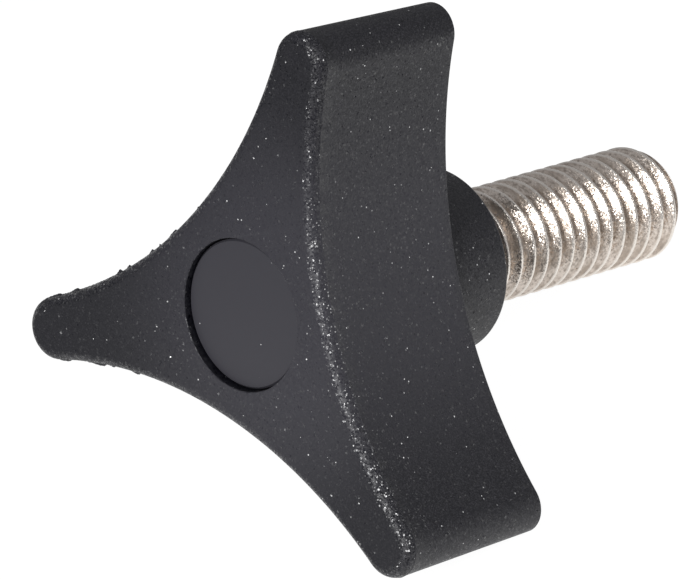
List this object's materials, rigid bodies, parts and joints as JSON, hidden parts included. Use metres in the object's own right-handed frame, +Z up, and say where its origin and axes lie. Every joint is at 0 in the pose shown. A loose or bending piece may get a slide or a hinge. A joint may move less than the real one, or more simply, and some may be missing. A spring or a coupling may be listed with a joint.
{
  "type": "three-prong knob",
  "caption": "Pronged moulded clamping knob with a round cap in its face and a threaded metal stud behind its hub.",
  "frame": {"origin": "on the table, under the middle of the knob as it lies at rest", "axes": "+Y along the stud towards its tip, seen from above (the stud slopes down to the table), +Z up, and the knob is the same on both sides of X = 0"},
  "size_m": [0.0352, 0.0408, 0.0328],
  "materials": {
    "grip_plastic": "fine spark-eroded texture, black-grey",
    "stainless_steel": "rolled thread, bright with fine pits",
    "cap_plastic": "smooth satin, black-grey"
  },
  "bodies": {
    "root": {"grip": "grip_plastic", "stud": "stainless_steel", "cover_cap": "cap_plastic"}
  },
  "joints": []
}
